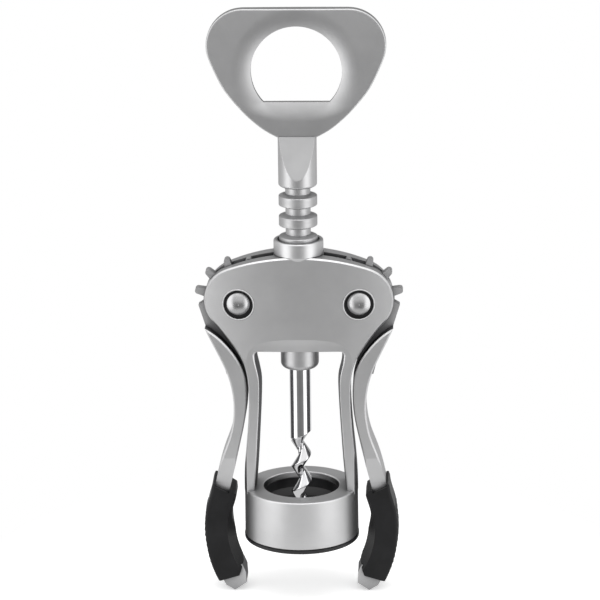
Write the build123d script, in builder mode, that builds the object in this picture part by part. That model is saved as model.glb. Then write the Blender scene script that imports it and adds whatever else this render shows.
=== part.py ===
from build123d import *
import os
from math import cos, degrees, pi, radians, sin, sqrt, tan

# Wing corkscrew with a crown-cap opener for a handle, in millimetres.
# Origin: centre of the bell's mouth.  +Z runs up the spindle, the front is -Y.
# The levers hang down beside the frame, which is joint value zero.
# Everything on the left is drawn once and mirrored to the right.

# ---- driving dimensions -------------------------------------------------

# Rack and gear pair
rack_pitch = 6.8
gear_teeth = 12
gear_tip_radius = 14.8
gear_root_radius = 11.6
gear_thickness = 3.3
flank_angle = 20.0
mesh_groove_z = 85.33
mesh_tooth_lead = 1.2  # degrees that the tooth stands above the middle of its groove
teeth_below_mesh = 2
teeth_above_mesh = 5
tooth_root_half = 1.3
tooth_tip_half = 1.05

# Pivots
pivot_x = 19.7
pivot_z = 82.1
pin_radius = 2.9
running_play = 0.05
pin_head_radius = 3.75
pin_head_skirt = 0.5
pin_head_rise = 1.25
bush_radius = 4.85
bush_recess = 1.3
rear_tail = 0.6

# Frame casting
head_depth = 15.2
face_crown_radius = 140.0
slot_width = 4.0
slot_play = 0.4
leg_depth = 13
edge_break = 0.5
window_edge = 0.6
window_rim_x = 15.7
leg_trim_top = 42.0
head_top = 98.2
window_top = 65.4
window_draft = 6.5
crease_radius = 45.0
crease_bottom = 70.5
crease_fall = 14.0
leg_slot_x = 18.3
leg_slot_z = 60.6
collar_radius = 8.15
collar_top = 102.8
collar_block_bottom = 93.6

# Bell and its liner
bell_radius = 18.95
bell_bottom = 1.3
bell_top = 17.8
bell_flange = 2.0
bell_hole_radius = 12.6
liner_radius = 16.4
liner_foot_radius = 19.15
neck_bore_radius = 15.0
neck_bore_depth = 8.6
cork_way_radius = 12.3
cork_way_bottom = 12.6

# Rack, handle neck and the parts inside it
ring_radius = 6.28
groove_radius = 4.1
ring_land = 3.1
ring_corner = 0.3
groove_count = 7
rack_bore_play = 0.08
rack_bottom = 70.0
neck_top = 137.6
neck_chamfer = 1.1
neck_flat_bottom = 123.6
neck_flat_top_y = 2.3
spigot_radius = 3.3
spigot_length = 12.0
shank_radius = 2.2
shank_top = 131.0
cross_pin_radius = 1.0
cross_pin_z = 127.5
cross_pin_half_length = 6.0

# Opener plate
plate_thickness = 5.2
opener_top = 179.0
lobe_x = 16.9
cap_hole_radius = 14.65
cap_hole_z = 158.5
cap_lip_z = 148.5
hole_round = 2.3
rim_round = 1.8

# Guide cup, washers and worm
cup_top = 68.95
cup_bottom = 59.1
cup_round = 1.9
cup_recess_radius = 3.95
cup_recess_top = 62.2
washer_thickness = 0.8
washer_radius = 3.6
axial_play = 0.3
worm_shaft_radius = 3.6
worm_tip = 9.3
worm_taper_top = 16.0
worm_pitch = 9.0
worm_right_bulge = 28.8
worm_blade_radius = 3.5
worm_core_radius = 1.0
worm_core_angle = 140.0  # the blade has run down to the core this far from its edge
worm_blade_top = 38.0
worm_point_radius = 0.35
worm_shaft_end_right = 37.5
worm_shaft_end_left = 33.9

# Lever arms and grips
arm_depth = 12.0
core_depth = 9.4
arm_edge = 0.5
facet_top = 29.0
facet_bottom = 20.0
grip_depth = 13.2
grip_round = 1.0
grip_end_round = 0.3
rib_count = 12
rib_first = 0.275
rib_last = 0.877
rib_groove = 0.42
rib_depth = 10.0
scoop_centre = (3.7, 4.35)
scoop_front_radius = 28.3
scoop_middle_radius = 26.0

# ---- values that follow from them ---------------------------------------

pitch_radius = rack_pitch * gear_teeth / (2 * pi)
tooth_step = 360 / gear_teeth
bore_radius = ring_radius + rack_bore_play
ring_flank = (ring_radius - groove_radius) * tan(radians(flank_angle))
groove_floor = rack_pitch - ring_land - 2 * ring_flank
mesh_tooth_angle = degrees((mesh_groove_z - pivot_z) / pitch_radius) + mesh_tooth_lead
lowest_groove_z = mesh_groove_z - rack_pitch
highest_groove_z = lowest_groove_z + (groove_count - 1) * rack_pitch
neck_bottom = highest_groove_z + groove_floor / 2
shaft_shoulder = cup_recess_top - axial_play - washer_thickness
crease_centre_z = crease_bottom + crease_radius
left_pivot = (-pivot_x, pivot_z)
front = Plane.XZ


# ---- frame ----------------------------------------------------------------

def casting_outline():
    """Front view of the head and legs, from the crown down to the bell."""
    crown = ThreePointArc((-23.3, 93.9), (0, head_top), (23.3, 93.9))
    shoulder = TangentArc(crown @ 1, (30.95, 83.0), tangent=crown % 1)
    cheek = TangentArc(shoulder @ 1, (28.0, 75.6), tangent=shoulder % 1)
    side = Spline(
        [cheek @ 1, (22.4, 68.8), (18.4, 62.2), (16.8, 54.0), (16.9, 44.0), (18.0, 31.0), (18.95, 16.5)],
        tangents=[cheek % 1, (0.02, -1)],
    )
    foot = side @ 1
    for curve in (shoulder, cheek, side):
        mirror(curve, about=Plane.YZ)
    Line(foot, (-foot.X, foot.Y))


def window_outline(grow):
    """Opening between the legs, wider by grow on every side than at the middle plane."""
    roof = Line((0, window_top + grow), (12.6 + grow, window_top + grow))
    shoulder = RadiusArc(roof @ 1, (14.0 + grow, window_top - 1.4 + grow), 1.4)
    side = Spline(
        [
            shoulder @ 1,
            (12.85 + grow, 57.8),
            (12.6 + grow, 52.0),
            (13.45 + grow, 36.0),
            (15.2 + grow * 0.9, 14.0),
        ],
        tangents=[(0, -1), (0.1, -1)],
    )
    Line(side @ 1, (0, 14.0))
    mirror(about=Plane.YZ)


def face_depth(x):
    """Distance from the middle plane to the crowned head face."""
    return head_depth / 2 - face_crown_radius + sqrt(face_crown_radius**2 - x**2)


def crown_section():
    """Head seen from above: front and back bulge about the spindle."""
    half_width = 40.0
    edge = face_depth(half_width)
    Line((-half_width, edge), (-half_width, -edge))
    ThreePointArc((-half_width, -edge), (0, -head_depth / 2), (half_width, -edge))
    Line((half_width, -edge), (half_width, edge))
    ThreePointArc((half_width, edge), (0, head_depth / 2), (-half_width, edge))


def dish_profile():
    """Section that is turned about the oval's centre to fall the faces back to the legs."""
    face = -head_depth / 2
    leg = -leg_depth / 2
    foot = -20.0
    fall = Spline(
        [(leg, crease_bottom - crease_fall), (face, crease_bottom), (face - 0.6, crease_bottom + 2.4)],
        tangents=[(0, 1), (-0.25, 1)],
    )
    above = (fall @ 1).Y
    Polyline(fall @ 1, (face - 3, above), (face - 3, foot), (leg, foot), fall @ 0)


def bell_profile():
    """Half section of the bell: wall and inward flange."""
    Polyline(
        (bell_hole_radius, bell_top - bell_flange),
        (liner_radius, bell_top - bell_flange),
        (liner_radius, bell_bottom),
        (bell_radius + 0.05, bell_bottom),
        (bell_radius - 0.1, bell_top),
        (bell_hole_radius, bell_top),
        close=True,
    )


def collar_profile():
    """Half section of the collar that guides the rack."""
    lead_in = 0.6
    Polyline(
        (bore_radius, head_top - 2.0),
        (head_depth / 2 - 0.2, head_top - 1.6),
        (collar_radius, head_top),
        (collar_radius, collar_top),
        (bore_radius + lead_in, collar_top),
        (bore_radius, collar_top - lead_in),
        close=True,
    )


def corner(sketch, x, y):
    """The sketch's vertex at a point."""
    return sketch.vertices().filter_by(lambda v: abs(v.X - x) < 0.01 and abs(v.Y - y) < 0.01)


def flat_rims(part):
    """Edges round the foremost and rearmost faces."""
    flats = part.faces().sort_by(Axis.Y)
    return ShapeList(edge for flat in (flats[0], flats[-1]) for edge in flat.outer_wire().edges())


def make_frame():
    """Frame: two head plates, collar, legs and bell in one casting."""
    with BuildPart() as frame:
        with BuildSketch(front):
            with BuildLine():
                casting_outline()
            make_face()
        extrude(amount=head_depth / 2, both=True)
        with BuildSketch():
            with BuildLine():
                crown_section()
            make_face()
        extrude(amount=head_top, mode=Mode.INTERSECT)
        chamfer(flat_rims(frame.part).filter_by(lambda e: e.center().Z > bell_top), edge_break)

        for side in (-1, 1):
            with BuildSketch(front):
                with BuildLine():
                    window_outline(0)
                make_face()
            with BuildSketch(front.offset(side * head_depth)):
                with BuildLine():
                    window_outline(head_depth * tan(radians(window_draft)))
                make_face()
            loft(mode=Mode.SUBTRACT)
        window_rim = frame.edges().filter_by(
            lambda e: abs(e.center().Y) > leg_depth / 2 - 0.5
            and abs(e.center().X) < window_rim_x
            and bell_top < e.center().Z < window_top + 1.5
        )
        chamfer(window_rim, window_edge)

        with BuildSketch(Plane.YZ):
            with BuildLine():
                dish_profile()
            make_face()
            mirror(about=Plane.YZ)
        oval_axis = Axis((0, 0, crease_centre_z), (0, 1, 0))
        revolve(axis=oval_axis, mode=Mode.SUBTRACT)

        # the slot between the plates, where the gear sectors swing
        with BuildSketch(front):
            with Locations((-pivot_x, pivot_z), (pivot_x, pivot_z)):
                Circle(gear_tip_radius + slot_play)
            with Locations((0, pivot_z)):
                Rectangle(80, 20, align=(Align.CENTER, Align.MIN))
            with Locations((leg_slot_x, leg_slot_z)):
                Rectangle(30, pivot_z - leg_slot_z + 5, align=Align.MIN)
            mirror(about=Plane.YZ)
            with Locations((0, collar_block_bottom)):
                Rectangle(2 * collar_radius, 20, align=(Align.CENTER, Align.MIN), mode=Mode.SUBTRACT)
        extrude(amount=slot_width / 2, both=True, mode=Mode.SUBTRACT)

        # bell, then collar, turned about the spindle's axis
        with BuildSketch(front) as bell:
            with BuildLine():
                bell_profile()
            make_face()
            fillet(corner(bell, bell_radius - 0.1, bell_top), 0.5)
            fillet(corner(bell, bell_radius + 0.05, bell_bottom), 0.5)
            fillet(corner(bell, bell_hole_radius, bell_top), 0.4)
        revolve(axis=Axis.Z)
        with BuildSketch(front) as collar:
            with BuildLine():
                collar_profile()
            make_face()
            fillet(corner(collar, collar_radius, collar_top), 0.5)
        revolve(axis=Axis.Z)
        with BuildSketch(Plane.XY.offset(window_top - 5)):
            Circle(bore_radius)
        extrude(amount=collar_top - window_top + 5, mode=Mode.SUBTRACT)

        # legs follow the bell's side where they meet it
        with BuildSketch(Plane.XY.offset(bell_bottom + 5)):
            Circle(2 * bell_radius)
            Circle(bell_radius, mode=Mode.SUBTRACT)
        extrude(amount=leg_trim_top - bell_bottom - 5, mode=Mode.SUBTRACT)

        # pivot holes
        with BuildSketch(front):
            with Locations((-pivot_x, pivot_z), (pivot_x, pivot_z)):
                Circle(bush_radius)
        extrude(amount=head_depth, both=True, mode=Mode.SUBTRACT)
    return frame.part


def make_bell_liner():
    """Black liner: foot ring, bore for the bottle's neck, and the way for the cork."""
    with BuildPart() as liner:
        with BuildSketch(front) as section:
            with BuildLine():
                Polyline(
                    (neck_bore_radius, 0),
                    (liner_foot_radius, 0),
                    (liner_foot_radius, bell_bottom),
                    (liner_radius, bell_bottom),
                    (liner_radius, bell_top - bell_flange),
                    (cork_way_radius, bell_top - bell_flange),
                    (cork_way_radius, cork_way_bottom),
                    (neck_bore_radius, neck_bore_depth),
                    close=True,
                )
            make_face()
            fillet(corner(section, liner_foot_radius, 0), 0.5)
        revolve(axis=Axis.Z)
    return liner.part


# ---- pivots ---------------------------------------------------------------

# local x runs along the pivot from front to rear, local y is the radius
pivot_section = Plane(origin=(-pivot_x, 0, pivot_z), x_dir=(0, 1, 0), z_dir=(1, 0, 0))
pivot_axis = Axis((-pivot_x, 0, pivot_z), (0, 1, 0))
bush_face = face_depth(pivot_x) - bush_recess


def dome(base, rise):
    """Meridian of a round head that stands on x = base: its crown, then its rim."""
    return TangentArc((base + rise, 0), (base, pin_head_radius), tangent=(0, 1))


def make_pivot_pin():
    """Rivet with a domed head in front and a plain tail behind."""
    seat = -bush_face
    with BuildPart() as pin:
        with BuildSketch(pivot_section):
            with BuildLine():
                head = dome(seat - pin_head_skirt, -pin_head_rise)
                Polyline(
                    head @ 1,
                    (seat, pin_head_radius),
                    (seat, pin_radius),
                    (bush_face + rear_tail, pin_radius),
                    (bush_face + rear_tail, 0),
                    head @ 0,
                )
            make_face()
        revolve(axis=pivot_axis)
    return pin.part


def make_pivot_cap():
    """Domed cap pressed on the rivet's tail, in the rear recess."""
    with BuildPart() as cap:
        with BuildSketch(pivot_section):
            with BuildLine():
                head = dome(bush_face + pin_head_skirt, pin_head_rise)
                Polyline(
                    head @ 1,
                    (bush_face, pin_head_radius),
                    (bush_face, pin_radius),
                    (bush_face + rear_tail, pin_radius),
                    (bush_face + rear_tail, 0),
                    head @ 0,
                )
            make_face()
        revolve(axis=pivot_axis)
    return cap.part


def make_pivot_bush(side):
    """Black bush in one head plate; side is -1 in front and 1 behind."""
    with BuildPart() as bush:
        with BuildSketch(front.offset(-side * slot_width / 2)):
            with Locations(left_pivot):
                Circle(bush_radius)
                Circle(pin_radius, mode=Mode.SUBTRACT)
        extrude(amount=-side * (bush_face - slot_width / 2))
    return bush.part


# ---- levers ---------------------------------------------------------------

def gear_tooth():
    """One tooth that points along +X from the gear's centre: a finger with a round tip."""
    inner = gear_root_radius - 1.0
    shoulder = gear_tip_radius - tooth_tip_half
    with BuildSketch() as tooth:
        with BuildLine():
            Polyline(
                (shoulder, tooth_tip_half),
                (gear_root_radius, tooth_root_half),
                (inner, tooth_root_half),
                (inner, -tooth_root_half),
                (gear_root_radius, -tooth_root_half),
                (shoulder, -tooth_tip_half),
            )
            ThreePointArc((shoulder, -tooth_tip_half), (gear_tip_radius, 0), (shoulder, tooth_tip_half))
        make_face()
    return tooth.sketch


def lever_web_outline():
    """Thin web that joins the gear sector to the thick arm."""
    Polyline(
        (-31.4, 81.7),
        (-33.0, 80.7),
        (-30.85, 73.7),
        (-25.7, 62.6),
        (-24.2, 57.0),
        (-18.9, 57.0),
        (-18.9, 75.0),
        close=True,
    )


def arm_outline():
    """Thick arm from its upper step down to the bare tip, hung beside the leg."""
    step = Spline([(-30.85, 73.75), (-27.0, 71.1), (-23.3, 67.3), (-20.6, 63.6), (-18.9, 60.2)])
    inner = Spline(
        [
            step @ 1,
            (-17.75, 56.3),
            (-17.4, 51.0),
            (-17.75, 45.0),
            (-20.0, 33.6),
            (-22.5, 22.6),
            (-24.6, 13.5),
            (-25.4, 6.0),
            (-24.9, -1.0),
            (-22.2, -8.6),
        ],
    )
    tip = Polyline(inner @ 1, (-19.9, -9.2), (-18.8, -11.8), (-18.6, -15.5), (-22.5, -18.1), (-25.4, -16.4))
    Spline(
        [
            tip @ 1,
            (-28.1, -10.5),
            (-30.1, -2.5),
            (-30.5, 5.5),
            (-29.9, 12.5),
            (-28.3, 20.0),
            (-25.3, 30.9),
            (-23.4, 36.0),
            (-22.2, 41.3),
            (-21.8, 46.2),
            (-22.2, 51.6),
            (-23.4, 57.0),
            (-25.6, 62.6),
            step @ 0,
        ],
    )


def make_lever():
    """Left lever: toothed sector, web and arm in one casting."""
    tooth = gear_tooth()
    first_tooth = mesh_tooth_angle - teeth_below_mesh * tooth_step
    tooth_count = teeth_below_mesh + teeth_above_mesh + 1
    with BuildPart() as lever:
        with BuildSketch(front):
            with BuildLine():
                arm_outline()
            make_face()
        extrude(amount=arm_depth / 2, both=True)
        chamfer(flat_rims(lever.part), arm_edge)

        # faces fall back to the core that the grip covers
        with BuildSketch(Plane.YZ):
            with BuildLine():
                Polyline(
                    (-arm_depth / 2, facet_top),
                    (-core_depth / 2, facet_bottom),
                    (-core_depth / 2, -20),
                    (-arm_depth, -20),
                    (-arm_depth, facet_top),
                    close=True,
                )
            make_face()
            mirror(about=Plane.YZ)
        extrude(amount=2 * pivot_x, both=True, mode=Mode.SUBTRACT)

        with BuildSketch(front):
            with BuildLine():
                lever_web_outline()
            make_face()
            with Locations(left_pivot):
                Circle(gear_root_radius)
                with PolarLocations(0, tooth_count, first_tooth, tooth_step * tooth_count):
                    add(tooth)
        extrude(amount=gear_thickness / 2, both=True)
        with BuildSketch(front):
            with Locations(left_pivot):
                Circle(pin_radius + running_play)
        extrude(amount=gear_thickness, both=True, mode=Mode.SUBTRACT)
    return lever.part


def grip_edge(mode=Mode.PRIVATE):
    """Outer, ribbed edge of the grip from the prong's tip down."""
    return Spline(
        [
            (-29.5, 19.4),
            (-30.1, 16.2),
            (-31.2, 12.5),
            (-32.1, 5.0),
            (-31.8, -1.0),
            (-30.4, -8.0),
            (-27.8, -14.5),
        ],
        mode=mode,
    )


def grip_outline():
    """Grip in front view, from the outer prong down the ribbed edge and back up."""
    outer = grip_edge(Mode.ADD)
    lower = Polyline(outer @ 1, (-20.9, -12.4), (-19.6, -8.6))
    inner = Spline(
        [
            lower @ 1,
            (-21.2, -2.0),
            (-22.5, 3.6),
            (-23.1, 9.2),
            (-22.2, 12.6),
            (-21.5, 15.4),
        ],
    )
    Polyline(inner @ 1, (-21.9, 16.8), (-23.6, 17.9), (-28.1, 20.2), (-29.0, 20.4), outer @ 0)


def make_grip(lever):
    """Left grip: a soft sleeve over the lever's core, open above a slanted front edge."""
    with BuildPart() as grip:
        with BuildSketch(front):
            with BuildLine():
                grip_outline()
            make_face()
        extrude(amount=grip_depth / 2, both=True)
        fillet(flat_rims(grip.part).filter_by(lambda e: e.length > 20), grip_round)
        fillet(flat_rims(grip.part).filter_by(GeomType.LINE), grip_end_round)

        # hollow of the inner side
        for side in (-1, 1):
            with BuildSketch(front):
                with Locations(scoop_centre):
                    Circle(scoop_middle_radius)
            with BuildSketch(front.offset(side * grip_depth / 2)):
                with Locations(scoop_centre):
                    Circle(scoop_front_radius)
            loft(mode=Mode.SUBTRACT)

        # the metal comes out of the grip above a slanted edge
        with BuildSketch(front):
            with BuildLine():
                arm_outline()
            make_face()
            with BuildLine():
                Polyline((-28.1, 18.9), (-23.65, 16.7), (-15, 12.4), (-15, 90), (-40, 90), (-40, 24.8), close=True)
            make_face(mode=Mode.INTERSECT)
        extrude(amount=grip_depth, both=True, mode=Mode.SUBTRACT)

        # grooves between the ribs
        step = (rib_last - rib_first) / (rib_count - 1)
        edge = grip_edge()
        with BuildSketch(front):
            with Locations([edge @ (rib_first + k * step) for k in range(rib_count)]):
                Circle(rib_groove)
        extrude(amount=rib_depth / 2, both=True, mode=Mode.SUBTRACT)
        add(lever, mode=Mode.SUBTRACT)
    return grip.part


# ---- spindle --------------------------------------------------------------

def plate_outline():
    """Opener plate: flat top, two round lobes, sides that draw in to the neck."""
    top = Line((0, opener_top), (lobe_x, opener_top))
    lobe = TangentArc(top @ 1, (27.9, 162.1), tangent=(1, 0))
    waist = Spline(
        [lobe @ 1, (23.65, 153.2), (18.4, 146.5), (14.3, 142.4), (10.5, 139.4), (6.25, 137.0)],
        tangents=[lobe % 1, (-1, -0.5)],
    )
    Line(waist @ 1, (0, 137.0))
    mirror(about=Plane.YZ)


def make_opener_handle():
    """Handle: crown-cap opener plate and the round neck under it."""
    with BuildPart() as handle:
        with BuildSketch(front):
            with BuildLine():
                plate_outline()
            make_face()
        extrude(amount=plate_thickness / 2, both=True)
        rims = handle.faces().filter_by(GeomType.PLANE).filter_by(Axis.Y).edges()
        fillet(rims, rim_round)
        with BuildSketch(front):
            with Locations((0, cap_hole_z)):
                Circle(cap_hole_radius)
            with Locations((0, cap_lip_z)):
                Rectangle(60, 60, align=(Align.CENTER, Align.MIN), mode=Mode.INTERSECT)
        extrude(amount=plate_thickness, both=True, mode=Mode.SUBTRACT)
        hole_rims = handle.edges().filter_by(
            lambda e: abs(abs(e.center().Y) - plate_thickness / 2) < 0.01
            and abs(e.center().X) < 2
            and cap_lip_z - 1 < e.center().Z < cap_hole_z + cap_hole_radius + 1
        )
        fillet(hole_rims, hole_round)

        with BuildSketch(front):
            with BuildLine():
                Polyline(
                    (0, neck_bottom),
                    (groove_radius + 0.3, neck_bottom),
                    (ring_radius, neck_bottom + neck_chamfer),
                    (ring_radius, neck_top),
                    (0, neck_top),
                    close=True,
                )
            make_face()
        revolve(axis=Axis.Z)
        with BuildSketch(Plane.YZ):
            with BuildLine():
                Polyline(
                    (-ring_radius, neck_flat_bottom),
                    (-neck_flat_top_y, neck_top - 0.4),
                    (-plate_thickness / 2 - 0.4, neck_top - 0.4),
                    (-plate_thickness / 2 - 0.4, neck_top + 2),
                    (-ring_radius - 1, neck_top + 2),
                    (-ring_radius - 1, neck_flat_bottom),
                    close=True,
                )
            make_face()
            mirror(about=Plane.YZ)
        extrude(amount=ring_radius + 1, both=True, mode=Mode.SUBTRACT)
        with BuildSketch(Plane.XY.offset(neck_bottom)):
            Circle(spigot_radius)
        extrude(amount=spigot_length, mode=Mode.SUBTRACT)
        with BuildSketch(Plane.YZ):
            with Locations((0, cross_pin_z)):
                Circle(cross_pin_radius)
        extrude(amount=ring_radius, both=True, mode=Mode.SUBTRACT)
    return handle.part


def make_rack_shaft():
    """Round rack: rings and grooves that the gear sectors drive at any turn."""
    with BuildPart() as rack:
        with BuildSketch(front) as section:
            with Locations((shank_radius, rack_bottom)):
                Rectangle(ring_radius - shank_radius, neck_bottom - rack_bottom, align=Align.MIN)
            with Locations((shank_radius, neck_bottom)):
                Rectangle(spigot_radius - shank_radius, spigot_length, align=Align.MIN)
            with BuildLine():
                Polyline(
                    (groove_radius, lowest_groove_z - groove_floor / 2),
                    (ring_radius, lowest_groove_z - groove_floor / 2 - ring_flank),
                    (ring_radius, lowest_groove_z + groove_floor / 2 + ring_flank),
                    (groove_radius, lowest_groove_z + groove_floor / 2),
                    close=True,
                )
            groove = make_face(mode=Mode.PRIVATE)
            for k in range(groove_count):
                add(groove.moved(Location((0, k * rack_pitch))), mode=Mode.SUBTRACT)
            ring_corners = section.vertices().filter_by(
                lambda v: abs(v.X - ring_radius) < 0.01 and v.Y < neck_bottom - 0.1
            )
            fillet(ring_corners, ring_corner)
        revolve(axis=Axis.Z)
        with BuildSketch(Plane.YZ):
            with Locations((0, cross_pin_z)):
                Circle(cross_pin_radius)
        extrude(amount=ring_radius, both=True, mode=Mode.SUBTRACT)
    return rack.part


def blade_section():
    """Cross-section of the worm: it thins evenly from one sharp edge to the core."""
    fall = (worm_blade_radius - worm_core_radius) / worm_core_angle
    angles = [worm_core_angle * k / 5 for k in range(6)]
    rim = [(worm_blade_radius - fall * a, radians(a)) for a in angles]
    upper = Spline([(r * cos(a), r * sin(a)) for r, a in rim])
    lower = Spline([(r * cos(a), -r * sin(a)) for r, a in rim])
    ThreePointArc(upper @ 1, (-worm_core_radius, 0), lower @ 1)


def make_worm():
    """Worm: shank, polished shaft and a right-handed cutting blade with a point."""
    blade_height = worm_blade_top - worm_tip
    start_turn = 360 * (worm_tip - worm_right_bulge) / worm_pitch
    with BuildSketch(Plane.XY.offset(worm_tip)) as section:
        with BuildLine():
            blade_section()
        make_face()
    blade = Solid.extrude_linear_with_rotation(
        section.sketch.faces()[0].rotate(Axis.Z, start_turn),
        (0, 0, worm_tip),
        (0, 0, blade_height),
        360 * blade_height / worm_pitch,
    )

    # shaft with its oblique end
    with BuildPart() as shaft:
        with BuildSketch(front):
            with BuildLine():
                Polyline(
                    (-worm_shaft_radius - 1, worm_shaft_end_left),
                    (worm_shaft_radius + 1, worm_shaft_end_right),
                    (worm_shaft_radius + 1, shaft_shoulder),
                    (-worm_shaft_radius - 1, shaft_shoulder),
                    close=True,
                )
            make_face()
        extrude(amount=worm_shaft_radius + 1, both=True)
        with BuildSketch():
            Circle(worm_shaft_radius)
        extrude(amount=shaft_shoulder, mode=Mode.INTERSECT)

    with BuildPart() as worm:
        add(blade)
        with BuildSketch(front):
            with BuildLine():
                Polyline(
                    (0, worm_tip),
                    (worm_point_radius, worm_tip),
                    (worm_shaft_radius + 0.1, worm_taper_top),
                    (worm_shaft_radius + 0.1, worm_blade_top),
                    (0, worm_blade_top),
                    close=True,
                )
            make_face()
        revolve(axis=Axis.Z, mode=Mode.INTERSECT)
        add(shaft.part)
        with BuildSketch(Plane.XY.offset(shaft_shoulder - 1)):
            Circle(shank_radius)
        extrude(amount=shank_top - shaft_shoulder + 1)
        with BuildSketch(Plane.YZ):
            with Locations((0, cross_pin_z)):
                Circle(cross_pin_radius)
        extrude(amount=ring_radius, both=True, mode=Mode.SUBTRACT)
    return worm.part


def make_guide_cup():
    """Cup that carries the spindle's thrust and slides in the frame without turning."""
    with BuildPart() as cup:
        with BuildSketch(front) as section:
            with BuildLine():
                Polyline(
                    (shank_radius + running_play, cup_top),
                    (ring_radius, cup_top),
                    (ring_radius, cup_bottom),
                    (cup_recess_radius, cup_bottom),
                    (cup_recess_radius, cup_recess_top),
                    (shank_radius + running_play, cup_recess_top),
                    close=True,
                )
            make_face()
            fillet(corner(section, ring_radius, cup_bottom), cup_round)
            fillet(corner(section, ring_radius, cup_top), ring_corner)
        revolve(axis=Axis.Z)
    return cup.part


def make_washer(bottom):
    """Thrust washer on the worm's shank."""
    with BuildPart() as washer:
        with BuildSketch(Plane.XY.offset(bottom)):
            Circle(washer_radius)
            Circle(shank_radius, mode=Mode.SUBTRACT)
        extrude(amount=washer_thickness)
    return washer.part


def make_worm_pin():
    """Cross pin through the neck, the rack's spigot and the worm's shank."""
    with BuildPart() as pin:
        with BuildSketch(Plane.YZ):
            with Locations((0, cross_pin_z)):
                Circle(cross_pin_radius)
        extrude(amount=cross_pin_half_length, both=True)
    return pin.part


# ---- output ---------------------------------------------------------------

def main():
    os.makedirs("parts", exist_ok=True)
    lever = make_lever()
    left_side = {
        "lever": lever,
        "grip": make_grip(lever),
        "pivot_pin": make_pivot_pin(),
        "pivot_cap": make_pivot_cap(),
        "front_bush": make_pivot_bush(-1),
        "rear_bush": make_pivot_bush(1),
    }
    pieces = {
        "frame": make_frame(),
        "bell_liner": make_bell_liner(),
        "opener_handle": make_opener_handle(),
        "rack_shaft": make_rack_shaft(),
        "worm": make_worm(),
        "worm_pin": make_worm_pin(),
        "guide_cup": make_guide_cup(),
        "upper_thrust_washer": make_washer(rack_bottom - washer_thickness),
        "lower_thrust_washer": make_washer(shaft_shoulder),
    }
    for name, piece in left_side.items():
        pieces[f"left_{name}"] = piece
        pieces[f"right_{name}"] = mirror(piece, about=Plane.YZ)
    for name, piece in pieces.items():
        piece.label = name
        export_step(piece, f"parts/{name}.step")


if __name__ == "__main__":
    main()
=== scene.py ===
"""Looks of a wing corkscrew: finishes, fine pieces and studio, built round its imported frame.

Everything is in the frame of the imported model: +Z runs up the spindle, the front is -Y, and
the origin is the centre of the bell's mouth. The tool's own pieces have their sizes in
millimetres, the studio and the finishes in metres. Angles are in degrees.
"""

import logging
import math
from dataclasses import dataclass
from enum import Enum

import bmesh
import bpy
from mathutils import Matrix, Vector


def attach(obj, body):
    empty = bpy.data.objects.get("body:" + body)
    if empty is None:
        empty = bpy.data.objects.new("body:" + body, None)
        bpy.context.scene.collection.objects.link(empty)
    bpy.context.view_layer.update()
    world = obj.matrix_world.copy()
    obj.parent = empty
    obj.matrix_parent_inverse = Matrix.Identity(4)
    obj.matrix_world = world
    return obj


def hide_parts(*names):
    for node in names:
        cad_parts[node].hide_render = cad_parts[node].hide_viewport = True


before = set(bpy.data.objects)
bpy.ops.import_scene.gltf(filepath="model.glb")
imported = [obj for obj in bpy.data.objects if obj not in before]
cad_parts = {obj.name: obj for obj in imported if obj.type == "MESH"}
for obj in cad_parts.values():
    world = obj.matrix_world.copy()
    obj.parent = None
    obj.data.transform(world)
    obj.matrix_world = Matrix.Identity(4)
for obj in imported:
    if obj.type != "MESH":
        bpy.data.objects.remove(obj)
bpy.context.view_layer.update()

log = logging.getLogger("wing_corkscrew")

MM = 0.001
MERGE_DISTANCE = 0.000001
WHITE = (1.0, 1.0, 1.0, 1.0)

Piece = bpy.types.Object
Material = bpy.types.Material
Node = bpy.types.Node
Socket = bpy.types.NodeSocket
Triple = tuple[float, float, float]
Limits = tuple[float, float]
Faces = list[tuple[int, ...]]


class Slot(str, Enum):
    """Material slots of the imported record."""

    SATIN_METAL = "satin_metal"
    TURNED_METAL = "turned_metal"
    POLISHED_METAL = "polished_metal"
    BLACK_PLASTIC = "black_plastic"
    BLACK_RUBBER = "black_rubber"


class Side(Enum):
    """Left or right half of the tool, as the sign of x."""

    LEFT = -1
    RIGHT = 1

    @property
    def label(self) -> str:
        """The side's name in node and body names."""
        return self.name.lower()


# ---- shader building ----


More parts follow.
